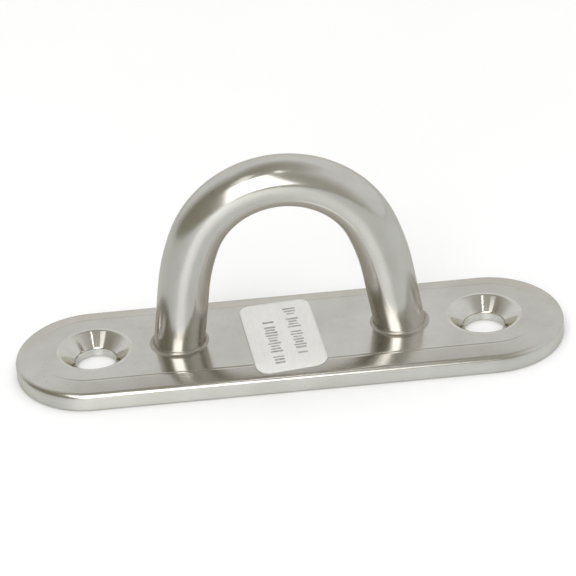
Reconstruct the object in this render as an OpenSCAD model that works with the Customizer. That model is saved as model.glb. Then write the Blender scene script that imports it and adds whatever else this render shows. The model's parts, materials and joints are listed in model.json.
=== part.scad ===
// Oblong pad eye: a round bar bent to an eye, let through a flat base plate and welded in.
// Sizes are in millimetres. +X runs along the plate, +Y through the eye and +Z up.
// The origin is on the plate's underside, midway between the two legs.

/* [Base plate] */
// Overall length of the plate, over its full-round ends
plate_length = 64.8; // [62:0.1:72]
// Width of the plate
plate_width = 18; // [17:0.1:20]
// Thickness at the flat middle
plate_thickness = 2.6; // [2.5:0.1:3.2]
// Height at which the upright side wall would meet the bevel
wall_height = 2.1; // [1.8:0.1:2.3]
// Width of the bevelled border, measured in from the edge
bevel_width = 2.5; // [1.5:0.1:3]
// Radius that softens the top of the side wall
edge_radius = 0.7; // [0.3:0.05:0.8]
// Size of the broken edge around the underside
under_chamfer = 0.2; // [0.1:0.05:0.4]

/* [Screw holes] */
// Distance between the two screw holes
hole_spacing = 46; // [45:0.5:48]
// Diameter of each through hole
hole_diameter = 4.8; // [4.2:0.1:5.2]
// Diameter of the countersink at the top face
sink_diameter = 8.3; // [7.5:0.1:9]
// Included angle of the countersink, in degrees
sink_angle = 100; // [90:1:110]

/* [Eye] */
// Diameter of the round bar
bar_diameter = 6; // [5:0.5:6]
// Height of the bar's centre line at the crown, above the underside
crown_height = 23; // [22:0.5:26]
// Centre-line radius of the crown
crown_radius = 11; // [10.5:0.5:11.5]
// How far past the middle each shoulder's arc is centred
shoulder_offset = 14.4; // [13.5:0.1:15]
// How far below the crown's centre each shoulder's arc is centred
shoulder_drop = 6; // [5.5:0.1:6.5]
// Angle by which each leg spreads from upright, in degrees
leg_splay = 8.5; // [6:0.5:9]

/* [Welds] */
// Radius of the dressed fillet where a leg meets the top face
fillet_radius = 0.5; // [0.3:0.1:1]
// Diameter of the root weld, ground flush with the underside
root_diameter = 8.2; // [7.6:0.2:9]
// Depth of the root weld's groove in the underside
root_depth = 1.1; // [0.8:0.1:1.4]
// How far short of the underside the bar's ends stop
bar_setback = 0.5; // [0.3:0.1:0.7]

/* [Origin label] */
// Width of the label, across its lines of print
label_width = 8.5; // [6:0.5:9]
// Length of the label, along its lines of print
label_length = 14.4; // [12:0.1:15]
// Radius of the label's corners
label_corner = 1.6; // [0.5:0.1:2]
// Turn of the label on the plate, in degrees
label_turn = 5.7; // [-8:0.1:8]
// Place of the label's middle along the plate
label_x = -0.85; // [-2:0.05:2]
// Place of the label's middle across the plate
label_y = -0.75; // [-1:0.05:1]
// Thickness of the label's paper
paper_thickness = 0.1; // [0.08:0.01:0.2]
// Thickness of the glue film under it
glue_thickness = 0.04; // [0.03:0.01:0.08]
// How far the glue film stops short of the paper's edge
glue_margin = 0.2; // [0.1:0.05:0.5]

/* [Hidden] */
$fn = 96;

steel = [0.66, 0.65, 0.63];
weld_steel = [0.6, 0.58, 0.55];

bar_radius = bar_diameter / 2;
end_radius = plate_width / 2;
end_x = plate_length / 2 - end_radius;

// The bevel falls from the crease to the side wall, which is rounded into it
bevel_angle = atan((plate_thickness - wall_height) / bevel_width);
crease = end_radius - bevel_width;
edge_x = end_radius - edge_radius;
edge_z = wall_height + edge_radius * tan(bevel_angle) - edge_radius / cos(bevel_angle);

sink_depth = (sink_diameter - hole_diameter) / 2 / tan(sink_angle / 2);

// Each shoulder's arc meets the crown's arc on the line through their two centres
crown_z = crown_height - crown_radius;
shoulder_z = crown_z - shoulder_drop;
shoulder_radius = crown_radius + norm([shoulder_offset, shoulder_drop]);
meeting_angle = atan(shoulder_drop / shoulder_offset);

// Each stretch of the bar starts this far inside the one above it, and is this much slimmer
join_lap = 0.3;
join_step = 0.02;
shoulder_bar = bar_radius - join_step;
leg_bar = shoulder_bar - join_step;
lap_angle = asin(join_lap / shoulder_radius);

// A cut reaches this far past the face that it passes through
overcut = 1;

// Width of the small step with which a fillet weld ends on its leg
weld_lip = 0.08;

leg_top_z = shoulder_z + shoulder_radius * sin(leg_splay);
leg_reach = leg_top_z / cos(leg_splay) + 2 * overcut;

// Distance of a leg's axis from the middle, at a height above the underside
function leg_x(z) =
    shoulder_radius * cos(leg_splay) - shoulder_offset + (leg_top_z - z) * tan(leg_splay);

// Half of the plate's cross-section, from its middle out to the side wall
module plate_section() {
    polygon([
        [0, 0],
        [end_radius - under_chamfer, 0],
        [end_radius, under_chamfer],
        [end_radius, edge_z],
        [edge_x + edge_radius * sin(bevel_angle), edge_z + edge_radius * cos(bevel_angle)],
        [crease, plate_thickness],
        [0, plate_thickness],
    ]);
    translate([edge_x, edge_z])
        circle(r = edge_radius);
}

module plate_blank() {
    for (side = [-1, 1])
        translate([side * end_x, 0, 0])
            rotate([0, 0, side * 90 - 180])
                rotate_extrude(angle = 180)
                    plate_section();
    for (side = [0, 1])
        mirror([0, side, 0])
            translate([-end_x, 0, 0])
                rotate([90, 0, 90])
                    linear_extrude(height = 2 * end_x)
                        plate_section();
}

module screw_hole() {
    translate([0, 0, -overcut])
        cylinder(d = hole_diameter, h = plate_thickness + 2 * overcut);
    translate([0, 0, plate_thickness - sink_depth])
        cylinder(d1 = hole_diameter, d2 = sink_diameter, h = sink_depth);
    translate([0, 0, plate_thickness])
        cylinder(d = sink_diameter, h = overcut);
}

// The right leg's straight stretch, from its shoulder down past the underside
module leg_rod() {
    translate([-shoulder_offset, 0, shoulder_z])
        rotate([0, -leg_splay, 0])
            translate([shoulder_radius, 0, -leg_reach])
                cylinder(r = leg_bar, h = leg_reach + join_lap);
}

// The groove for the root weld around the right leg
module root_groove() {
    translate([leg_x(0), 0, 0])
        cylinder(r1 = root_diameter / 2, r2 = bar_radius, h = root_depth);
}

// An arc of the bar in the XZ plane, from one angle above +X to another
module bar_arc(centre_x, centre_z, radius, from, to, thick) {
    translate([centre_x, 0, centre_z])
        rotate([90, 0, 0])
            rotate_extrude(start = from, angle = to - from)
                translate([radius, 0])
                    circle(r = thick);
}

module crown_arc() {
    bar_arc(0, crown_z, crown_radius, meeting_angle, 180 - meeting_angle, bar_radius);
}

module shoulder_arc() {
    from = leg_splay;
    to = meeting_angle + lap_angle;
    bar_arc(-shoulder_offset, shoulder_z, shoulder_radius, from, to, shoulder_bar);
}

module eye_shape() {
    crown_arc();
    for (side = [0, 1])
        mirror([side, 0, 0]) {
            shoulder_arc();
            leg_rod();
        }
}

// Everything from a height upwards, over the whole plate
module space_above(z) {
    translate([-plate_length / 2, -plate_width / 2, z])
        cube([plate_length, plate_width, crown_height + bar_diameter]);
}

module right_fillet_weld() {
    fillet_x = leg_x(plate_thickness + fillet_radius / 2);
    toe_radius = bar_radius + weld_lip + fillet_radius;
    difference() {
        translate([fillet_x, 0, plate_thickness])
            rotate_extrude()
                difference() {
                    square([toe_radius, fillet_radius]);
                    translate([toe_radius, fillet_radius])
                        circle(r = fillet_radius);
                }
        leg_rod();
    }
}

module right_root_weld() {
    difference() {
        root_groove();
        intersection() {
            leg_rod();
            space_above(bar_setback);
        }
    }
}

// The label's outline, drawn in by a margin
module label_outline(margin) {
    half_w = label_width / 2 - margin;
    half_l = label_length / 2 - margin;
    corner = label_corner - margin / 2;
    translate([label_x, label_y])
        rotate(label_turn) {
            square([2 * half_w, 2 * (half_l - corner)], center = true);
            square([2 * (half_w - corner), 2 * half_l], center = true);
            for (x = [-1, 1], y = [-1, 1])
                translate([x * (half_w - corner), y * (half_l - corner)])
                    circle(r = corner);
        }
}

// A layer lying on the plate between two heights, bent over both creases onto the bevel
module draped_layer(low, high) {
    reach = plate_width / 2;
    drop = (reach - crease) * tan(bevel_angle);
    translate([-plate_length / 4, 0, plate_thickness])
        rotate([90, 0, 90])
            linear_extrude(height = plate_length / 2)
                polygon([
                    [-reach, low - drop],
                    [-crease, low],
                    [crease, low],
                    [reach, low - drop],
                    [reach, high - drop],
                    [crease, high],
                    [-crease, high],
                    [-reach, high - drop],
                ]);
}

module label_layer(low, high, margin) {
    intersection() {
        linear_extrude(height = 2 * plate_thickness)
            label_outline(margin);
        draped_layer(low, high);
    }
}

module base_plate() {
    color(steel)
        difference() {
            plate_blank();
            for (side = [0, 1])
                mirror([side, 0, 0]) {
                    translate([hole_spacing / 2, 0, 0])
                        screw_hole();
                    leg_rod();
                    root_groove();
                }
        }
}

module eye_bar() {
    color(steel)
        intersection() {
            eye_shape();
            space_above(bar_setback);
        }
}

module fillet_weld_left() {
    color(weld_steel)
        mirror([1, 0, 0])
            right_fillet_weld();
}

module fillet_weld_right() {
    color(weld_steel)
        right_fillet_weld();
}

module root_weld_left() {
    color(weld_steel)
        mirror([1, 0, 0])
            right_root_weld();
}

module root_weld_right() {
    color(weld_steel)
        right_root_weld();
}

module label_glue() {
    color("khaki")
        label_layer(0, glue_thickness, glue_margin);
}

module label_paper() {
    color("whitesmoke")
        label_layer(glue_thickness, glue_thickness + paper_thickness, 0);
}

base_plate();
eye_bar();
fillet_weld_left();
fillet_weld_right();
root_weld_left();
root_weld_right();
label_glue();
label_paper();
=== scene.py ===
import json
import math

import bmesh
import bpy
from mathutils import Matrix, Vector, noise


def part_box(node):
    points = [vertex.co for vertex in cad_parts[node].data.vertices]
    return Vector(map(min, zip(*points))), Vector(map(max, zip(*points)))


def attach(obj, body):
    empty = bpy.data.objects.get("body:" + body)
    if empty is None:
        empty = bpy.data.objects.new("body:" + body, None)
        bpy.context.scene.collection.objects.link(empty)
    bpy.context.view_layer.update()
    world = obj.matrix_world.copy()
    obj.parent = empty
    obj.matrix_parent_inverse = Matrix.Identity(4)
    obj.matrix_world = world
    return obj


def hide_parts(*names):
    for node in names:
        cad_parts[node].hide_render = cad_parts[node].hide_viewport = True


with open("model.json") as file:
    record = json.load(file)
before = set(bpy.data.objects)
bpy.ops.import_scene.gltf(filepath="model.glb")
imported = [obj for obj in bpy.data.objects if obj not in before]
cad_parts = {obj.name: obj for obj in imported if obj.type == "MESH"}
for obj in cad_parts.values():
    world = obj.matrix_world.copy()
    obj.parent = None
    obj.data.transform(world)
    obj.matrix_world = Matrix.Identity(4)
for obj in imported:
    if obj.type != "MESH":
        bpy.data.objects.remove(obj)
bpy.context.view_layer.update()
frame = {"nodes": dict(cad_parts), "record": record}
mm = 0.001
print("frame loaded:", len(frame["nodes"]), "nodes")


# ---- camera: a long lens from just left of straight on, held slightly rolled
camera = {
    "azimuth": -2.25,  # degrees round from straight on
    "elevation": 31.9,
    "roll": -4.1,
    "distance": 0.2973,
    "lens": 159.5,
    "sensorWidth": 36,
    "nearest": 10 * mm,  # what it sees starts and ends this far away
    "farthest": 20.0,
    "aim": (0.17 * mm, 0.24 * mm, 8.4 * mm),
}


def directionOf(azimuth, elevation):
    a, e = math.radians(azimuth), math.radians(elevation)
    return Vector((math.sin(a) * math.cos(e), -math.cos(a) * math.cos(e), math.sin(e)))


def aimedMatrix(place, back, roll=0.0):
    right = Vector((0, 0, 1)).cross(back).normalized()
    turned = Matrix((right, back.cross(right), back)).transposed().to_4x4()
    return Matrix.Translation(place) @ turned @ Matrix.Rotation(math.radians(roll), 4, "Z")


def makeCamera(c):
    data = bpy.data.cameras.new("mainCamera")
    data.lens = c["lens"]
    data.sensor_width = c["sensorWidth"]
    data.clip_start = c["nearest"]
    data.clip_end = c["farthest"]
    cam = bpy.data.objects.new("mainCamera", data)
    bpy.context.scene.collection.objects.link(cam)
    back = directionOf(c["azimuth"], c["elevation"])
    cam.matrix_world = aimedMatrix(Vector(c["aim"]) + back * c["distance"], back, c["roll"])
    bpy.context.scene.camera = cam


makeCamera(camera)
print("camera set")


# ---- node helpers
def addNode(tree, kind, links=None, **values):
    node = tree.nodes.new(kind)
    for key, value in values.items():
        setattr(node, key, value)
    for key, value in (links or {}).items():
        socket = node.inputs[key]
        if isinstance(value, bpy.types.NodeSocket):
            tree.links.new(value, socket)
        else:
            socket.default_value = value
    return node


def newMaterial(name):
    material = bpy.data.materials.new(name)
    material.use_nodes = True
    tree = material.node_tree
    tree.nodes.clear()
    shader = addNode(tree, "ShaderNodeBsdfPrincipled")
    addNode(tree, "ShaderNodeOutputMaterial", {"Surface": shader.outputs["BSDF"]})
    return material, tree, shader


def grain(tree, vector, scale, detail=2.0, stretch=(1, 1, 1), turn=(0, 0, 0)):
    placed = addNode(tree, "ShaderNodeMapping", {"Vector": vector, "Scale": stretch, "Rotation": turn})
    links = {"Vector": placed.outputs["Vector"], "Scale": scale, "Detail": detail, "Roughness": 0.55}
    return addNode(tree, "ShaderNodeTexNoise", links).outputs["Fac"]


def spread(tree, value, low, high, fromLow=0.3, fromHigh=0.7):
    links = {"Value": value, "From Min": fromLow, "From Max": fromHigh, "To Min": low, "To Max": high}
    return addNode(tree, "ShaderNodeMapRange", links).outputs["Result"]


def blendColours(tree, factor, first, second):
    node = addNode(tree, "ShaderNodeMix", data_type="RGBA")
    for key, value in (("Factor_Float", factor), ("A_Color", first), ("B_Color", second)):
        socket = next(s for s in node.inputs if s.identifier == key)
        if isinstance(value, bpy.types.NodeSocket):
            tree.links.new(value, socket)
        else:
            socket.default_value = value
    return next(s for s in node.outputs if s.identifier == "Result_Color")


def bump(tree, height, distance, under=None):
    links = {"Height": height, "Distance": distance, "Strength": 1.0}
    if under is not None:
        links["Normal"] = under
    return addNode(tree, "ShaderNodeBump", links).outputs["Normal"]


# ---- polished stainless steel, with the cloudiness and hair scratches that a buffing wheel leaves
def polishedSteel(name, look):
    material, tree, shader = newMaterial(name)
    if look.get("attribute"):
        place = addNode(tree, "ShaderNodeAttribute", attribute_name=look["attribute"]).outputs["Vector"]
    else:
        place = addNode(tree, "ShaderNodeTexCoord").outputs["Object"]
    cloud = grain(tree, place, look["cloudScale"], 3.0)
    scratch = grain(tree, place, look["scratchScale"], 4.0, look["scratchStretch"], look["scratchTurn"])
    pit = grain(tree, place, look["pitScale"], 1.0)
    colour = blendColours(tree, spread(tree, cloud, 0, 1), look["dark"], look["light"])
    speck = spread(tree, pit, 0, 1, *look["pitRange"])
    colour = blendColours(tree, speck, look["pitColour"], colour)
    hazy = spread(tree, cloud, look["roughLow"], look["roughHigh"])
    scored = spread(tree, scratch, 0, look["scratchHaze"], *look["scratchRange"])
    rough = addNode(tree, "ShaderNodeMath", {0: hazy, 1: scored}, operation="ADD").outputs[0]
    # Painted shade: the side of the bar facing into the bend is darkened in its colour, and its roughness
    # is raised there too.
    if look.get("innerPaintedShade"):
        inward = addNode(tree, "ShaderNodeSeparateXYZ", {"Vector": place}).outputs["Y"]
        inside = spread(tree, inward, 0, 1, *look["innerReach"])
        colour = blendColours(tree, inside, colour, look["innerPaintedShade"])
        dulled = spread(tree, inward, 0, look["innerHaze"], *look["innerReach"])
        rough = addNode(tree, "ShaderNodeMath", {0: rough, 1: dulled}, operation="ADD").outputs[0]
    wave = grain(tree, place, look["waveScale"], 1.5)
    normal = bump(tree, wave, look["waveHeight"])
    normal = bump(tree, scratch, look["scratchDepth"], under=normal)
    tree.links.new(colour, shader.inputs["Base Color"])
    tree.links.new(rough, shader.inputs["Roughness"])
    tree.links.new(normal, shader.inputs["Normal"])
    shader.inputs["Metallic"].default_value = 1.0
    shader.inputs["Specular Tint"].default_value = look["grazingTint"]
    return material


plateSteel = {
    "dark": (0.60, 0.585, 0.55, 1),
    "light": (0.68, 0.67, 0.64, 1),
    "pitColour": (0.55, 0.53, 0.49, 1),
    "grazingTint": (0.84, 0.81, 0.75, 1),
    "cloudScale": 190.0,
    "scratchScale": 900.0,
    "scratchStretch": (0.06, 1.0, 1.0),
    "scratchTurn": (0, 0, 0.12),
    "scratchRange": (0.5, 0.75),  # the part of the noise that shows as scratches
    "pitScale": 2600.0,
    "pitRange": (0.2, 0.3),
    "roughLow": 0.13,
    "roughHigh": 0.2,
    "scratchHaze": 0.06,
    "waveScale": 120.0,
    "waveHeight": 0.018 * mm,
    "scratchDepth": 0.0006 * mm,
}
rodSteel = dict(
    plateSteel,
    attribute="straightBar",
    cloudScale=160.0,
    scratchStretch=(1.0, 1.0, 0.05),
    scratchTurn=(0, 0, 0),
    roughLow=0.14,
    roughHigh=0.21,
    waveHeight=0.014 * mm,
    innerPaintedShade=(0.40, 0.375, 0.32, 1),  # painted shade: the inside of the bend darkened in its colour, for the darker reflections that fall there
    innerHaze=0.08,
    innerReach=(1.2 * mm, 2.4 * mm),
)
weldSteel = dict(
    plateSteel,
    dark=(0.36, 0.34, 0.30, 1),
    light=(0.52, 0.50, 0.46, 1),
    pitColour=(0.30, 0.27, 0.23, 1),
    cloudScale=420.0,
    scratchStretch=(1.0, 1.0, 0.5),
    roughLow=0.26,
    roughHigh=0.4,
    waveScale=700.0,
    waveHeight=0.03 * mm,
)
groundSteel = dict(
    weldSteel,
    scratchStretch=(0.04, 1.0, 1.0),
    scratchTurn=(0, 0, 0.6),
    dark=(0.44, 0.42, 0.38, 1),
    light=(0.58, 0.56, 0.52, 1),
    roughLow=0.24,
    roughHigh=0.36,
    scratchHaze=0.12,
    scratchDepth=0.002 * mm,
)


# Steel as the countersink's cutter leaves it: fine rings, which draw light out into spokes
def turnedSteel(name, look):
    material, tree, shader = newMaterial(name)
    place = addNode(tree, "ShaderNodeTexCoord").outputs["Object"]
    parts = addNode(tree, "ShaderNodeSeparateXYZ", {"Vector": place})
    side = addNode(tree, "ShaderNodeMath", {0: parts.outputs["X"]}, operation="SIGN")
    middle = addNode(tree, "ShaderNodeVectorMath", {
        0: (look["holeSpacing"] / 2, 0, 0), "Scale": side.outputs[0],
    }, operation="SCALE")
    spoke = addNode(tree, "ShaderNodeVectorMath", {
        0: place, 1: middle.outputs["Vector"],
    }, operation="SUBTRACT").outputs["Vector"]
    flatSpoke = addNode(tree, "ShaderNodeVectorMath", {0: spoke, 1: (1, 1, 0)}, operation="MULTIPLY")
    radius = addNode(tree, "ShaderNodeVectorMath", {0: flatSpoke.outputs[0]}, operation="LENGTH")
    depth = addNode(tree, "ShaderNodeCombineXYZ", {
        "X": radius.outputs["Value"], "Y": parts.outputs["Z"],
    }).outputs["Vector"]
    ringMarks = grain(tree, depth, look["ringScale"], 3.0)
    cloud = grain(tree, place, look["cloudScale"], 3.0)
    colour = blendColours(tree, spread(tree, cloud, 0, 1), look["dark"], look["light"])
    colour = blendColours(tree, spread(tree, ringMarks, 0, look["ringShade"]), colour, look["ringColour"])
    tree.links.new(colour, shader.inputs["Base Color"])
    rough = spread(tree, ringMarks, look["roughLow"], look["roughHigh"])
    tree.links.new(rough, shader.inputs["Roughness"])
    tree.links.new(bump(tree, ringMarks, look["ringDepth"]), shader.inputs["Normal"])
    tree.links.new(spoke, shader.inputs["Tangent"])
    shader.inputs["Metallic"].default_value = 1.0
    shader.inputs["Anisotropic"].default_value = look["drawnOut"]
    shader.inputs["Specular Tint"].default_value = look["grazingTint"]
    return material


def labelPaper(name, look):
    material, tree, shader = newMaterial(name)
    place = addNode(tree, "ShaderNodeTexCoord").outputs["Object"]
    fibre = grain(tree, place, look["fibreScale"], 4.0, (1, 0.35, 1), (0, 0, 0.4))
    stain = grain(tree, place, look["stainScale"], 2.0)
    colour = blendColours(tree, spread(tree, fibre, 0, 1), look["shade"], look["paper"])
    colour = blendColours(tree, spread(tree, stain, 0, look["stain"]), colour, look["stainColour"])
    tree.links.new(colour, shader.inputs["Base Color"])
    tree.links.new(spread(tree, fibre, look["roughLow"], look["roughHigh"]), shader.inputs["Roughness"])
    tree.links.new(bump(tree, fibre, look["fibreHeight"]), shader.inputs["Normal"])
    return material


paperLook = {
    "paper": (0.80, 0.80, 0.80, 1),
    "shade": (0.74, 0.74, 0.735, 1),
    "stainColour": (0.66, 0.65, 0.62, 1),
    "stain": 0.25,
    "fibreScale": 2400.0,
    "stainScale": 260.0,
    "fibreHeight": 0.004 * mm,
    "roughLow": 0.42,
    "roughHigh": 0.58,
}
inkLook = dict(
    paperLook,
    paper=(0.34, 0.34, 0.34, 1),
    shade=(0.20, 0.20, 0.20, 1),
    stainColour=(0.62, 0.62, 0.62, 1),
    stain=0.6,
    stainScale=1800.0,
)
glueLook = dict(
    paperLook,
    paper=(0.66, 0.62, 0.50, 1),
    shade=(0.56, 0.52, 0.40, 1),
    roughLow=0.25,
    roughHigh=0.4,
)


# ---- mesh helpers
def finishPiece(name, bm, *materials):
    bmesh.ops.recalc_face_normals(bm, faces=bm.faces)
    mesh = bpy.data.meshes.new(name)
    bm.to_mesh(mesh)
    bm.free()
    for material in materials:
        mesh.materials.append(material)
    piece = bpy.data.objects.new(name, mesh)
    bpy.context.scene.collection.objects.link(piece)
    return piece


def addLoft(bm, loops, finish=0):
    rings = [[bm.verts.new(point) for point in loop] for loop in loops]
    count = len(rings[0])
    for upper, lower in zip(rings, rings[1:]):
        for i in range(count):
            j = (i + 1) % count
            face = bm.faces.new((upper[i], upper[j], lower[j], lower[i]))
            face.smooth = True
            face.material_index = finish
    return rings


# Fills the flat face between an outer ring and the rings of its holes
def fillFlat(bm, outer, holes):
    edges = []
    for ring in [outer, *holes]:
        edges += [bm.edges.get((ring[i - 1], ring[i])) for i in range(len(ring))]
    bmesh.ops.triangle_fill(bm, use_beauty=True, edges=edges)


# A corner between two points, rounded as a quadratic curve
def softCorner(start, corner, end, steps):
    points = []
    for i in range(steps + 1):
        t = i / steps
        points.append(tuple(
            (1 - t) ** 2 * a + 2 * t * (1 - t) * b + t ** 2 * c
            for a, b, c in zip(start, corner, end)
        ))
    return points


# ---- sizes read from the frame
plateLow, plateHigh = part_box("base_plate")
barLow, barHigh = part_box("eye_bar")
footLow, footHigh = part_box("fillet_weld_right")
rootLow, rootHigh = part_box("root_weld_right")
paperLow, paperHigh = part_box("label_paper")
screwMount = next(m for m in frame["record"]["mounts"] if m["name"] == "screw_holes")

plate = {
    "length": plateHigh.x - plateLow.x,
    "width": plateHigh.y - plateLow.y,
    "thickness": plateHigh.z,
    "wallHeight": 2.1 * mm,  # where the side wall and the bevel would meet
    "bevelWidth": 2.5 * mm,
    "edgeRadius": 0.7 * mm,
    "underRound": 0.25 * mm,
    "underLip": 0.1 * mm,
    "grooveWidth": 0.12 * mm,  # the struck line at the crease, half of its width
    "grooveDepth": 0.04 * mm,
    "arcSteps": 72,
    "edgeSteps": 14,
    "cornerSteps": 6,
    "holeSteps": 96,
    "lowerSteps": 5,
    "legSteps": 64,
    "holeSpacing": screwMount["dims"]["spacing_x_mm"] * mm,
    "holeRadius": screwMount["dims"]["hole_r_mm"] * mm,
    "sinkRadius": 4.15 * mm,
    "sinkAngle": 50,  # degrees from the hole's axis
    "rimRound": 0.16 * mm,
}
eyeBar = {
    "radius": 3 * mm,
    "crownRadius": 11 * mm,
    "shoulderOffset": 14.4 * mm,
    "shoulderDrop": 6 * mm,
    "legSplay": math.radians(8.5),
    "stepLength": 0.35 * mm,
    "sides": 96,
}
eyeBar["crownHeight"] = barHigh.z - eyeBar["radius"]
eyeBar["endHeight"] = barLow.z


# Half of the bar's centre line, from the crown down to the end of the right leg
def rightCentreLine(bar):
    crownZ = bar["crownHeight"] - bar["crownRadius"]
    shoulderRadius = bar["crownRadius"] + math.hypot(bar["shoulderOffset"], bar["shoulderDrop"])
    meeting = math.atan2(bar["shoulderDrop"], bar["shoulderOffset"])
    splay = bar["legSplay"]
    points = []

    def addArc(x, z, radius, start, end):
        count = max(2, round(radius * abs(start - end) / bar["stepLength"]))
        for i in range(count):
            a = start + (end - start) * i / count
            points.append(Vector((x + radius * math.cos(a), 0, z + radius * math.sin(a))))

    addArc(0, crownZ, bar["crownRadius"], math.pi / 2, meeting)
    shoulderZ = crownZ - bar["shoulderDrop"]
    addArc(-bar["shoulderOffset"], shoulderZ, shoulderRadius, meeting, splay)
    legTop = Vector((
        shoulderRadius * math.cos(splay) - bar["shoulderOffset"],
        0,
        shoulderZ + shoulderRadius * math.sin(splay),
    ))
    down = Vector((math.sin(splay), 0, -math.cos(splay)))
    reach = (legTop.z - bar["endHeight"]) / math.cos(splay)
    count = round(reach / bar["stepLength"])
    points += [legTop + down * (reach * i / count) for i in range(count + 1)]
    return points


rightLine = rightCentreLine(eyeBar)


# Where the right leg's axis is at a height above the underside
def legX(height):
    end = rightLine[-1]
    return end.x - (height - end.z) * math.tan(eyeBar["legSplay"])


def ringAt(x, height, radiusX, radiusY, steps):
    turns = [2 * math.pi * i / steps for i in range(steps)]
    return [(x + radiusX * math.cos(a), radiusY * math.sin(a), height) for a in turns]


# ---- the base plate
# Painted light: these colours are paler than the plate's steel, to brighten the countersink's walls; the
# rings are turning marks.
sinkSteel = {
    "dark": (0.66, 0.65, 0.61, 1),
    "light": (0.79, 0.78, 0.75, 1),
    "ringColour": (0.54, 0.52, 0.48, 1),
    "grazingTint": (0.9, 0.88, 0.82, 1),
    "holeSpacing": plate["holeSpacing"],
    "cloudScale": 500.0,
    "ringScale": 9000.0,
    "ringShade": 0.2,
    "ringDepth": 0.0004 * mm,
    "roughLow": 0.11,
    "roughHigh": 0.17,
    "drawnOut": 0.75,
}


def stadiumRing(p, inset, height):
    radius = p["width"] / 2 - inset
    middle = (p["length"] - p["width"]) / 2
    ring = []
    for end in (1, -1):
        for i in range(p["arcSteps"] + 1):
            a = math.pi * (i / p["arcSteps"] - 0.5)
            ring.append((end * (middle + radius * math.cos(a)), end * radius * math.sin(a), height))
    return ring


# The plate's edge as (inset, height) pairs, from the underside round to the flat top
def edgeProfile(p):
    slope = math.atan2(p["thickness"] - p["wallHeight"], p["bevelWidth"])
    centre = p["wallHeight"] + p["edgeRadius"] * (math.tan(slope) - 1 / math.cos(slope))
    under = p["underRound"]
    profile = [(under + p["underLip"], 0)]
    profile += softCorner((under, 0), (0, 0), (0, under), p["cornerSteps"])
    for i in range(p["edgeSteps"] + 1):
        a = (math.pi / 2 - slope) * i / p["edgeSteps"]
        profile.append((p["edgeRadius"] * (1 - math.cos(a)), centre + p["edgeRadius"] * math.sin(a)))
    crease = p["bevelWidth"]
    half = p["grooveWidth"]
    bevelEnd = (crease - half, p["thickness"] - half * math.tan(slope))
    bottom = (crease, p["thickness"] - 2 * p["grooveDepth"])
    flatStart = (crease + half, p["thickness"])
    profile += [(crease - 2 * half, p["thickness"] - 2 * half * math.tan(slope))]
    profile += softCorner(bevelEnd, bottom, flatStart, p["cornerSteps"])
    profile.append((crease + 2 * half, p["thickness"]))
    return profile


# A screw hole as (radius, height) pairs, from the flat top down to the underside
def holeProfile(p):
    lean = math.radians(p["sinkAngle"])
    neck = p["thickness"] - (p["sinkRadius"] - p["holeRadius"]) / math.tan(lean)
    r, top, soft = p["holeRadius"], p["thickness"], p["rimRound"]
    alongX, alongZ = soft * math.sin(lean), soft * math.cos(lean)
    profile = [(p["sinkRadius"] + 2 * soft, top)]
    profile += softCorner(
        (p["sinkRadius"] + soft, top),
        (p["sinkRadius"], top),
        (p["sinkRadius"] - alongX, top - alongZ),
        p["cornerSteps"],
    )
    profile += softCorner((r + alongX, neck + alongZ), (r, neck), (r, neck - soft), p["cornerSteps"])
    profile += softCorner((r, soft), (r, 0), (r + soft, 0), p["lowerSteps"])
    profile.append((r + 2 * soft, 0))
    return profile


def makePlate(p):
    bm = bmesh.new()
    edge = addLoft(bm, [stadiumRing(p, inset, height) for inset, height in edgeProfile(p)])
    topHoles, underHoles = [], []
    legRadius = eyeBar["radius"]
    rootRadius = (rootHigh.x - rootLow.x) / 2
    for side in (-1, 1):
        middle = side * p["holeSpacing"] / 2
        rings = addLoft(bm, [ringAt(middle, z, r, r, p["holeSteps"]) for r, z in holeProfile(p)], 1)
        topHoles.append(rings[0])
        underHoles.append(rings[-1])
        rings = addLoft(bm, [
            ringAt(side * legX(height), height, radius, radius, p["legSteps"])
            for height, radius in ((p["thickness"], legRadius), (rootHigh.z, legRadius), (0, rootRadius))
        ])
        topHoles.append(rings[0])
        underHoles.append(rings[-1])
    fillFlat(bm, edge[-1], topHoles)
    fillFlat(bm, edge[0], underHoles)
    polished = polishedSteel("plateSteel", plateSteel)
    return finishPiece("plateShell", bm, polished, turnedSteel("sinkSteel", sinkSteel))


plateShell = makePlate(plate)
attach(plateShell, "root")
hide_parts("base_plate")
print("plate made:", len(plateShell.data.polygons), "faces")


# ---- the bent bar: Geometry Nodes sweep a circle along the centre line
def newGeometryTree(name, inputs):
    tree = bpy.data.node_groups.new(name, "GeometryNodeTree")
    tree.interface.new_socket("Geometry", in_out="INPUT", socket_type="NodeSocketGeometry")
    for label, kind, value in inputs:
        socket = tree.interface.new_socket(label, in_out="INPUT", socket_type=kind)
        if value is not None:
            socket.default_value = value
    tree.interface.new_socket("Geometry", in_out="OUTPUT", socket_type="NodeSocketGeometry")
    return tree, addNode(tree, "NodeGroupInput")


def bakeGeometry(piece, tree, values):
    modifier = piece.modifiers.new(tree.name, "NODES")
    modifier.node_group = tree
    for item in tree.interface.items_tree:
        if item.in_out == "INPUT" and item.name in values:
            modifier[item.identifier] = values[item.name]
    view = bpy.context.evaluated_depsgraph_get()
    made = bpy.data.meshes.new_from_object(piece.evaluated_get(view))
    made.name = piece.name
    piece.modifiers.clear()
    piece.data = made
    return piece


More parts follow.
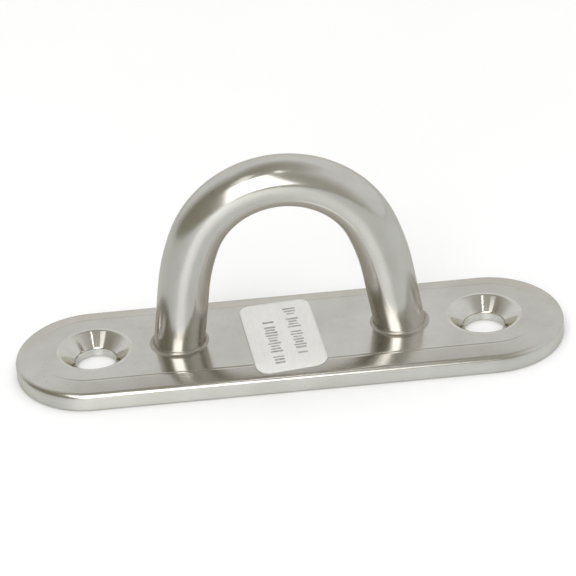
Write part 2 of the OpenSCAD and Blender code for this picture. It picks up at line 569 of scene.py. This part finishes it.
def sweptBarTree():
    tree, given = newGeometryTree("sweptBar", [
        ("Bar Radius", "NodeSocketFloat", 0.003),
        ("Sides", "NodeSocketInt", 64),
        ("Steel", "NodeSocketMaterial", None),
    ])
    line = addNode(tree, "GeometryNodeMeshToCurve", {"Mesh": given.outputs["Geometry"]})
    section = addNode(tree, "GeometryNodeCurvePrimitiveCircle", {
        "Resolution": given.outputs["Sides"], "Radius": given.outputs["Bar Radius"],
    })
    # Each point remembers its place on the bar as it was before bending
    length = addNode(tree, "GeometryNodeSplineParameter").outputs["Length"]
    alongBar = addNode(tree, "GeometryNodeCaptureAttribute", {"Geometry": line.outputs["Curve"]})
    alongBar.capture_items.new("FLOAT", "Along")
    tree.links.new(length, alongBar.inputs["Along"])
    position = addNode(tree, "GeometryNodeInputPosition").outputs["Position"]
    acrossBar = addNode(tree, "GeometryNodeCaptureAttribute", {"Geometry": section.outputs["Curve"]})
    acrossBar.capture_items.new("VECTOR", "Across")
    tree.links.new(position, acrossBar.inputs["Across"])
    swept = addNode(tree, "GeometryNodeCurveToMesh", {
        "Curve": alongBar.outputs["Geometry"],
        "Profile Curve": acrossBar.outputs["Geometry"],
        "Fill Caps": True,
    })
    lift = addNode(tree, "ShaderNodeCombineXYZ", {"Z": alongBar.outputs["Along"]})
    straight = addNode(tree, "ShaderNodeVectorMath", {
        0: acrossBar.outputs["Across"], 1: lift.outputs["Vector"],
    }, operation="ADD")
    stored = addNode(tree, "GeometryNodeStoreNamedAttribute", {
        "Geometry": swept.outputs["Mesh"], "Name": "straightBar",
    }, data_type="FLOAT_VECTOR", domain="POINT")
    tree.links.new(straight.outputs["Vector"], stored.inputs["Value"])
    smooth = addNode(tree, "GeometryNodeSetShadeSmooth", {"Geometry": stored.outputs["Geometry"]})
    real = addNode(tree, "GeometryNodeRealizeInstances", {"Geometry": smooth.outputs["Geometry"]})
    painted = addNode(tree, "GeometryNodeSetMaterial", {
        "Geometry": real.outputs["Geometry"], "Material": given.outputs["Steel"],
    })
    addNode(tree, "NodeGroupOutput", {"Geometry": painted.outputs["Geometry"]})
    return tree


def makeBar(bar):
    left = [Vector((-p.x, 0, p.z)) for p in reversed(rightLine[1:])]
    points = left + rightLine
    mesh = bpy.data.meshes.new("eyeRod")
    mesh.from_pydata(points, [(i, i + 1) for i in range(len(points) - 1)], [])
    piece = bpy.data.objects.new("eyeRod", mesh)
    bpy.context.scene.collection.objects.link(piece)
    return bakeGeometry(piece, sweptBarTree(), {
        "Bar Radius": bar["radius"],
        "Sides": bar["sides"],
        "Steel": polishedSteel("rodSteel", rodSteel),
    })


eyeRod = makeBar(eyeBar)
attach(eyeRod, "root")
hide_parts("eye_bar")
print("bar made:", len(eyeRod.data.polygons), "faces")


# ---- the dressed fillet weld round the foot of each leg
footWeld = {
    "size": footHigh.z - footLow.z,
    "unevenness": 0.12,  # share of its size
    "ripples": 2.2,
    "steps": 128,
    "arcSteps": 10,
    "bite": 0.05 * mm,  # how far it runs into the plate and the bar
}


def makeFootWeld(name, side, weld, material):
    bm = bmesh.new()
    top = plate["thickness"]
    stretchX = 1 / math.cos(eyeBar["legSplay"])

    def ring(height, out):
        points = []
        for i in range(weld["steps"]):
            a = 2 * math.pi * i / weld["steps"]
            wobble = noise.noise(Vector((math.cos(a), math.sin(a), side)) * weld["ripples"])
            grow = 1 + weld["unevenness"] * (wobble - 0.5)
            z = top + height * grow
            reach = out * grow
            x = legX(z) + (eyeBar["radius"] * stretchX + reach) * math.cos(a)
            points.append((side * x, (eyeBar["radius"] + reach) * math.sin(a), z))
        return points

    size, bite = weld["size"], weld["bite"]
    rings = [ring(size, -bite)]
    for i in range(weld["arcSteps"] + 1):
        a = math.pi / 2 * i / weld["arcSteps"]
        rings.append(ring(size * (1 - math.sin(a)), size * (1 - math.cos(a))))
    rings += [ring(-bite, size), ring(-bite, -bite)]
    made = addLoft(bm, rings)
    for i in range(weld["steps"]):
        face = bm.faces.new((made[-1][i - 1], made[-1][i], made[0][i], made[0][i - 1]))
        face.smooth = True
    return finishPiece(name, bm, material)


weldMetal = polishedSteel("weldSteel", weldSteel)
for side, word in ((-1, "left"), (1, "right")):
    weldPiece = makeFootWeld("footWeld_" + word, side, footWeld, weldMetal)
    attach(weldPiece, "root")
    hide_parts("fillet_weld_" + word)
print("foot welds made")


# ---- the paper label, bent over the crease, with its corners lifting a little
label = {
    "width": 8.5 * mm,
    "length": 14.4 * mm,
    "corner": 1.6 * mm,
    "turn": math.radians(5.7),
    "thickness": 0.1 * mm,
    "cell": 0.4 * mm,
    "cornerSteps": 8,
    "foldSoftness": 0.5 * mm,
    "curl": 0.05 * mm,
    "middle": (paperLow + paperHigh) / 2,
}
creaseY = plate["width"] / 2 - plate["bevelWidth"]
bevelSlope = (plate["thickness"] - plate["wallHeight"]) / plate["bevelWidth"]


# How high the label's underside lies at a distance from the plate's middle line
def labelHeight(y):
    glue = paperHigh.z - plate["thickness"] - label["thickness"]
    over = abs(y) - creaseY
    soft = label["foldSoftness"]
    fall = 0.5 * (over + math.sqrt(over * over + soft * soft)) * bevelSlope
    return plate["thickness"] + glue - fall


def makeLabel(lab, material):
    bm = bmesh.new()
    halfW, halfL, corner = lab["width"] / 2, lab["length"] / 2, lab["corner"]
    outline = []
    for cornerX, cornerY, start in ((1, 1, 0), (-1, 1, 90), (-1, -1, 180), (1, -1, 270)):
        for i in range(lab["cornerSteps"] + 1):
            a = math.radians(start + 90 * i / lab["cornerSteps"])
            x = cornerX * (halfW - corner) + corner * math.cos(a)
            y = cornerY * (halfL - corner) + corner * math.sin(a)
            outline.append(bm.verts.new((x, y, 0)))
    bm.faces.new(outline)
    for axis, half in ((Vector((1, 0, 0)), halfW), (Vector((0, 1, 0)), halfL)):
        cuts = int(half / lab["cell"])
        for i in range(-cuts, cuts + 1):
            everything = bm.verts[:] + bm.edges[:] + bm.faces[:]
            bmesh.ops.bisect_plane(bm, geom=everything, plane_co=axis * (i * lab["cell"]), plane_no=axis)
    bmesh.ops.remove_doubles(bm, verts=bm.verts, dist=lab["cell"] / 20)
    turn = Matrix.Rotation(lab["turn"], 4, "Z")
    for vert in bm.verts:
        edgeward = (abs(vert.co.x) / halfW) ** 6 * (abs(vert.co.y) / halfL) ** 6
        place = turn @ vert.co + Vector((lab["middle"].x, lab["middle"].y, 0))
        lifted = labelHeight(place.y) + lab["curl"] * edgeward
        vert.co = (place.x, place.y, lifted)
    top = bmesh.ops.extrude_face_region(bm, geom=bm.faces[:])["geom"]
    raised = [v for v in top if isinstance(v, bmesh.types.BMVert)]
    bmesh.ops.translate(bm, verts=raised, vec=(0, 0, lab["thickness"]))
    for face in bm.faces:
        face.smooth = abs(face.normal.z) > 0.5
    return finishPiece("paperLabel", bm, material)


paperLabel = makeLabel(label, labelPaper("labelPaper", paperLook))
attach(paperLabel, "root")
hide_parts("label_paper")
print("label made")


# ---- two rows of plain strokes printed on the label, in place of words
labelRows = {
    # place across the label, and where the row starts and ends along it
    "rows": ((-1.3 * mm, 5.2 * mm, -6.3 * mm), (1.6 * mm, 5.3 * mm, -4.9 * mm)),
    "pitch": 0.56 * mm,
    "strokeWidth": 0.31 * mm,
    "strokeHeight": 1.55 * mm,
    "inkThickness": 0.01 * mm,
    "smallest": (0.62, 0.8, 1.0),  # share of the stroke's height, width and thickness
    "largest": (1.05, 1.25, 1.0),
    "gapShare": 0.22,
    "seed": 11,
}


def printedRowsTree():
    tree, given = newGeometryTree("printedRows", [
        ("Paper", "NodeSocketObject", None),
        ("Pitch", "NodeSocketFloat", 0.0005),
        ("Stroke Width", "NodeSocketFloat", 0.0002),
        ("Stroke Height", "NodeSocketFloat", 0.001),
        ("Ink Thickness", "NodeSocketFloat", 0.00001),
        ("Smallest", "NodeSocketVector", None),
        ("Largest", "NodeSocketVector", None),
        ("Gap Share", "NodeSocketFloat", 0.2),
        ("Seed", "NodeSocketInt", 0),
        ("Turn", "NodeSocketFloat", 0.0),
        ("Middle", "NodeSocketVector", None),
        ("Ink", "NodeSocketMaterial", None),
    ])
    rows = addNode(tree, "GeometryNodeMeshToCurve", {"Mesh": given.outputs["Geometry"]})
    places = addNode(tree, "GeometryNodeCurveToPoints", {
        "Curve": rows.outputs["Curve"], "Length": given.outputs["Pitch"],
    }, mode="LENGTH")
    gaps = addNode(tree, "FunctionNodeRandomValue", {
        "Probability": given.outputs["Gap Share"], "Seed": given.outputs["Seed"],
    }, data_type="BOOLEAN")
    gap = next(s for s in gaps.outputs if s.type == "BOOLEAN")
    kept = addNode(tree, "GeometryNodeDeleteGeometry", {
        "Geometry": places.outputs["Points"], "Selection": gap,
    })
    # One stroke: a rounded bar, closed underneath
    outline = addNode(tree, "GeometryNodeCurvePrimitiveQuadrilateral", {
        "Width": given.outputs["Stroke Height"], "Height": given.outputs["Stroke Width"],
    })
    halfWidth = addNode(tree, "ShaderNodeMath", {
        0: given.outputs["Stroke Width"], 1: 0.45,
    }, operation="MULTIPLY")
    rounded = addNode(tree, "GeometryNodeFilletCurve", {
        "Curve": outline.outputs["Curve"], "Radius": halfWidth.outputs[0], "Count": 3,
    }, mode="POLY")
    filled = addNode(tree, "GeometryNodeFillCurve", {"Curve": rounded.outputs["Curve"]}, mode="NGONS")
    raised = addNode(tree, "GeometryNodeExtrudeMesh", {
        "Mesh": filled.outputs["Mesh"], "Offset Scale": given.outputs["Ink Thickness"],
    })
    under = addNode(tree, "GeometryNodeFlipFaces", {"Mesh": filled.outputs["Mesh"]})
    both = addNode(tree, "GeometryNodeJoinGeometry")
    tree.links.new(raised.outputs["Mesh"], both.inputs[0])
    tree.links.new(under.outputs["Mesh"], both.inputs[0])
    stroke = addNode(tree, "GeometryNodeMergeByDistance", {
        "Geometry": both.outputs["Geometry"], "Distance": 0.000001,
    })
    sizes = addNode(tree, "FunctionNodeRandomValue", {
        0: given.outputs["Smallest"], 1: given.outputs["Largest"], "Seed": given.outputs["Seed"],
    }, data_type="FLOAT_VECTOR")
    size = next(s for s in sizes.outputs if s.type == "VECTOR")
    strokes = addNode(tree, "GeometryNodeInstanceOnPoints", {
        "Points": kept.outputs["Geometry"], "Instance": stroke.outputs["Geometry"], "Scale": size,
    })
    real = addNode(tree, "GeometryNodeRealizeInstances", {"Geometry": strokes.outputs["Instances"]})
    turn = addNode(tree, "ShaderNodeCombineXYZ", {"Z": given.outputs["Turn"]})
    placed = addNode(tree, "GeometryNodeTransform", {
        "Geometry": real.outputs["Geometry"],
        "Translation": given.outputs["Middle"],
        "Rotation": turn.outputs["Vector"],
    })
    # Each point drops onto the paper below it
    paper = addNode(tree, "GeometryNodeObjectInfo", {"Object": given.outputs["Paper"]})
    here = addNode(tree, "GeometryNodeInputPosition").outputs["Position"]
    above = addNode(tree, "ShaderNodeVectorMath", {0: here, 1: (0, 0, 20 * mm)}, operation="ADD")
    ray = addNode(tree, "GeometryNodeRaycast", {
        "Target Geometry": paper.outputs["Geometry"],
        "Source Position": above.outputs["Vector"],
        "Ray Direction": (0, 0, -1),
        "Ray Length": 100 * mm,
    })
    hit = addNode(tree, "ShaderNodeSeparateXYZ", {"Vector": ray.outputs["Hit Position"]})
    drop = addNode(tree, "ShaderNodeCombineXYZ", {"Z": hit.outputs["Z"]})
    laid = addNode(tree, "GeometryNodeSetPosition", {
        "Geometry": placed.outputs["Geometry"], "Offset": drop.outputs["Vector"],
    })
    painted = addNode(tree, "GeometryNodeSetMaterial", {
        "Geometry": laid.outputs["Geometry"], "Material": given.outputs["Ink"],
    })
    addNode(tree, "NodeGroupOutput", {"Geometry": painted.outputs["Geometry"]})
    return tree


def makePrint(r):
    points, edges = [], []
    for across, start, end in r["rows"]:
        edges.append((len(points), len(points) + 1))
        points += [(across, start, 0), (across, end, 0)]
    mesh = bpy.data.meshes.new("labelPrint")
    mesh.from_pydata(points, edges, [])
    piece = bpy.data.objects.new("labelPrint", mesh)
    bpy.context.scene.collection.objects.link(piece)
    middle = label["middle"]
    return bakeGeometry(piece, printedRowsTree(), {
        "Paper": paperLabel,
        "Pitch": r["pitch"],
        "Stroke Width": r["strokeWidth"],
        "Stroke Height": r["strokeHeight"],
        "Ink Thickness": r["inkThickness"],
        "Smallest": r["smallest"],
        "Largest": r["largest"],
        "Gap Share": r["gapShare"],
        "Seed": r["seed"],
        "Turn": label["turn"],
        "Middle": (middle.x, middle.y, 0),
        "Ink": labelPaper("labelInk", inkLook),
    })


labelPrint = makePrint(labelRows)
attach(labelPrint, "root")
print("print made:", len(labelPrint.data.polygons), "faces")


# ---- the carried-over CAD pieces that keep their shape
def dress(nodeName, material):
    node = frame["nodes"][nodeName]
    node.data.materials.clear()
    node.data.materials.append(material)


groundMetal = polishedSteel("groundSteel", groundSteel)
dress("root_weld_left", groundMetal)
dress("root_weld_right", groundMetal)
dress("label_glue", labelPaper("glueFilm", glueLook))
print("kept nodes dressed")


# ---- floor, lights and surroundings
studio = {
    "floorSize": 6.0,
    "mottleScale": 30.0,
    "whiteFloor": {
        "drop": 0.02 * mm,
        "light": (0.925, 0.93, 0.955, 1),
        "shade": (0.91, 0.915, 0.94, 1),
        "roughness": 0.8,
        "shine": 1.4,  # refractive index of its surface
    },
    # A greyer glossy board that only the metal mirrors, so that it reads against the white floor
    "mirroredBoard": {
        "drop": 0.05 * mm,
        "light": (0.655, 0.675, 0.69, 1),
        "shade": (0.625, 0.645, 0.66, 1),
        "roughness": 0.36,
        "shine": 2.2,
        "paintedLightPool": (0.75, 0.775, 0.80, 1),  # painted light: a paler pool close round the plate
        "lightPoolReach": (1.5 * mm, 5 * mm),
        "underlap": 0.2 * mm,  # how far it runs in under the plate's edge
    },
}
lights = {
    "frontSoftbox": {
        "azimuth": -16, "elevation": 31, "distance": 0.6, "width": 0.33, "height": 0.58,
        "roll": 27, "watts": 1.5, "reflected": True,
    },
    "sideLamp": {
        "azimuth": -50, "elevation": 58, "distance": 0.7, "width": 0.14, "height": 0.2,
        "roll": 20, "watts": 0.085, "reflected": True,
    },
    "slimLamp": {
        "azimuth": 5, "elevation": 67, "distance": 0.7, "width": 0.03, "height": 0.1,
        "roll": 0, "watts": 0.035, "reflected": True,
    },
    "overheadFill": {
        "azimuth": 0, "elevation": 88, "distance": 1.2, "width": 1.4, "height": 1.4,
        "roll": 0, "watts": 8.3, "reflected": False,
    },
}


def makeLight(name, setting):
    data = bpy.data.lights.new(name, "AREA")
    data.shape = "RECTANGLE"
    data.size = setting["width"]
    data.size_y = setting["height"]
    data.energy = setting["watts"]
    lamp = bpy.data.objects.new(name, data)
    bpy.context.scene.collection.objects.link(lamp)
    back = directionOf(setting["azimuth"], setting["elevation"])
    lamp.matrix_world = aimedMatrix(back * setting["distance"], back, setting["roll"])
    lamp.visible_camera = False
    lamp.visible_glossy = setting["reflected"]


# How far a place on the floor is from two points on the X axis, or from the line between them
def flatReach(tree, place, pointX, fromLine):
    parts = addNode(tree, "ShaderNodeSeparateXYZ", {"Vector": place})
    along = addNode(tree, "ShaderNodeMath", {0: parts.outputs["X"]}, operation="ABSOLUTE")
    past = addNode(tree, "ShaderNodeMath", {0: along.outputs[0], 1: pointX}, operation="SUBTRACT")
    if fromLine:
        past = addNode(tree, "ShaderNodeMath", {0: past.outputs[0], 1: 0.0}, operation="MAXIMUM")
    flat = addNode(tree, "ShaderNodeCombineXYZ", {"X": past.outputs[0], "Y": parts.outputs["Y"]})
    reach = addNode(tree, "ShaderNodeVectorMath", {0: flat.outputs["Vector"]}, operation="LENGTH")
    return reach.outputs["Value"]


# How far a place on the floor lies outside the plate's outline
def distanceFromPlate(tree, place):
    middle = (plate["length"] - plate["width"]) / 2
    reach = flatReach(tree, place, middle, True)
    outside = addNode(tree, "ShaderNodeMath", {0: reach, 1: plate["width"] / 2}, operation="SUBTRACT")
    return outside.outputs[0]


# Whether a place on the floor is covered by the plate, and is not below one of its screw holes
def underPlate(tree, place):
    reach = flatReach(tree, place, plate["holeSpacing"] / 2, False)
    offHole = addNode(tree, "ShaderNodeMath", {0: reach, 1: plate["holeRadius"]}, operation="GREATER_THAN")
    distance = distanceFromPlate(tree, place)
    inside = -studio["mirroredBoard"]["underlap"]
    covered = addNode(tree, "ShaderNodeMath", {0: distance, 1: inside}, operation="LESS_THAN")
    both = addNode(tree, "ShaderNodeMath", {
        0: offHole.outputs[0], 1: covered.outputs[0],
    }, operation="MULTIPLY")
    return both.outputs[0]


def floorMaterial(name, look):
    material, tree, shader = newMaterial(name)
    place = addNode(tree, "ShaderNodeTexCoord").outputs["Object"]
    mottle = grain(tree, place, studio["mottleScale"], 3.0)
    colour = blendColours(tree, spread(tree, mottle, 0, 1), look["shade"], look["light"])
    # Painted light: a paler pool on the board close round the plate's edge.
    if look.get("paintedLightPool"):
        away = spread(tree, distanceFromPlate(tree, place), 0, 1, *look["lightPoolReach"])
        colour = blendColours(tree, away, look["paintedLightPool"], colour)
    tree.links.new(colour, shader.inputs["Base Color"])
    shader.inputs["Roughness"].default_value = look["roughness"]
    shader.inputs["IOR"].default_value = look["shine"]
    # Seen from below it is clear, and under the plate too, so that the underside can be looked at
    seeThrough = addNode(tree, "ShaderNodeNewGeometry").outputs["Backfacing"]
    if look.get("paintedLightPool"):
        under = underPlate(tree, place)
        either = addNode(tree, "ShaderNodeMath", {0: seeThrough, 1: under}, operation="MAXIMUM")
        seeThrough = either.outputs[0]
    clear = addNode(tree, "ShaderNodeBsdfTransparent")
    mixed = addNode(tree, "ShaderNodeMixShader", {
        0: seeThrough, 1: shader.outputs["BSDF"], 2: clear.outputs["BSDF"],
    })
    output = next(n for n in tree.nodes if n.type == "OUTPUT_MATERIAL")
    tree.links.new(mixed.outputs["Shader"], output.inputs["Surface"])
    return material


def makeFloor(name, size, look, mirrored):
    half = size / 2
    mesh = bpy.data.meshes.new(name)
    corners = [(-half, -half), (half, -half), (half, half), (-half, half)]
    mesh.from_pydata([(x, y, -look["drop"]) for x, y in corners], [], [(0, 1, 2, 3)])
    mesh.materials.append(floorMaterial(name, look))
    floor = bpy.data.objects.new(name, mesh)
    bpy.context.scene.collection.objects.link(floor)
    floor.visible_camera = not mirrored
    floor.visible_diffuse = not mirrored
    floor.visible_glossy = mirrored
    floor.visible_shadow = False


# A dim room, darkest on the left, with a wide pale screen standing behind and to the right
surroundings = {
    "screen": (0.775, 0.775, 0.765, 1),
    "leftSide": (0.275, 0.265, 0.205, 1),
    "rightSide": (0.43, 0.42, 0.365, 1),
    "screenHeading": (0.537, 0.843, 0.0),
    "screenEdge": (-0.4, 0.14),
    "screenTop": (0.97, 0.78),
    "leftToRight": (-0.85, 0.4),
}


def makeWorld(s):
    world = bpy.data.worlds.new("room")
    bpy.context.scene.world = world
    world.use_nodes = True
    tree = world.node_tree
    tree.nodes.clear()
    heading = addNode(tree, "ShaderNodeTexCoord").outputs["Generated"]
    parts = addNode(tree, "ShaderNodeSeparateXYZ", {"Vector": heading})
    toScreen = addNode(tree, "ShaderNodeVectorMath", {
        0: heading, 1: s["screenHeading"],
    }, operation="DOT_PRODUCT").outputs["Value"]
    within = spread(tree, toScreen, 0, 1, *s["screenEdge"])
    below = spread(tree, parts.outputs["Z"], 0, 1, *s["screenTop"])
    onScreen = addNode(tree, "ShaderNodeMath", {0: within, 1: below}, operation="MULTIPLY")
    across = spread(tree, parts.outputs["X"], 0, 1, *s["leftToRight"])
    room = blendColours(tree, across, s["leftSide"], s["rightSide"])
    colour = blendColours(tree, onScreen.outputs[0], room, s["screen"])
    background = addNode(tree, "ShaderNodeBackground", {"Color": colour})
    addNode(tree, "ShaderNodeOutputWorld", {"Surface": background.outputs["Background"]})


makeFloor("whiteFloor", studio["floorSize"], studio["whiteFloor"], False)
makeFloor("mirroredBoard", studio["floorSize"], studio["mirroredBoard"], True)
makeWorld(surroundings)
for lightName, setting in lights.items():
    makeLight(lightName, setting)
bpy.context.scene.view_settings.view_transform = "Standard"
print("studio lit")
